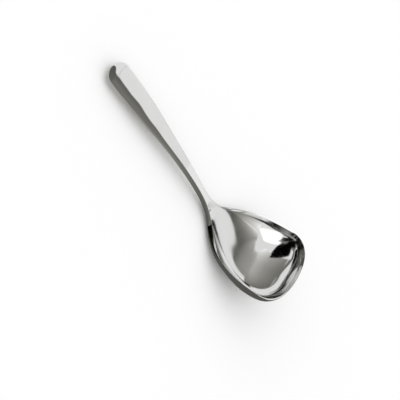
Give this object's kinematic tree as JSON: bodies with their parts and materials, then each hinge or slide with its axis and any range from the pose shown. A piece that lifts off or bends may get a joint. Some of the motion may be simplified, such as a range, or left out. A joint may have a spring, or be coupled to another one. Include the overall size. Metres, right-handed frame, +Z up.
{
  "type": "serving spoon",
  "caption": "Polished steel serving spoon with a broad, deep, blunt-tipped bowl, a narrow neck and a hollow rounded handle, for dishing out food.",
  "frame": {"origin": "on the table, under the middle of the spoon's box", "axes": "+X along the spoon towards the bowl's tip, +Y across the spoon, +Z up from the table that the spoon lies on"},
  "size_m": [0.2175, 0.077, 0.0415],
  "materials": {
    "bowl_steel": "mirror polished",
    "handle_steel": "polished, with very fine polishing lines"
  },
  "bodies": {
    "root": {"bowl": "bowl_steel", "handle_upper_shell": "handle_steel", "handle_lower_shell": "handle_steel"}
  },
  "joints": []
}
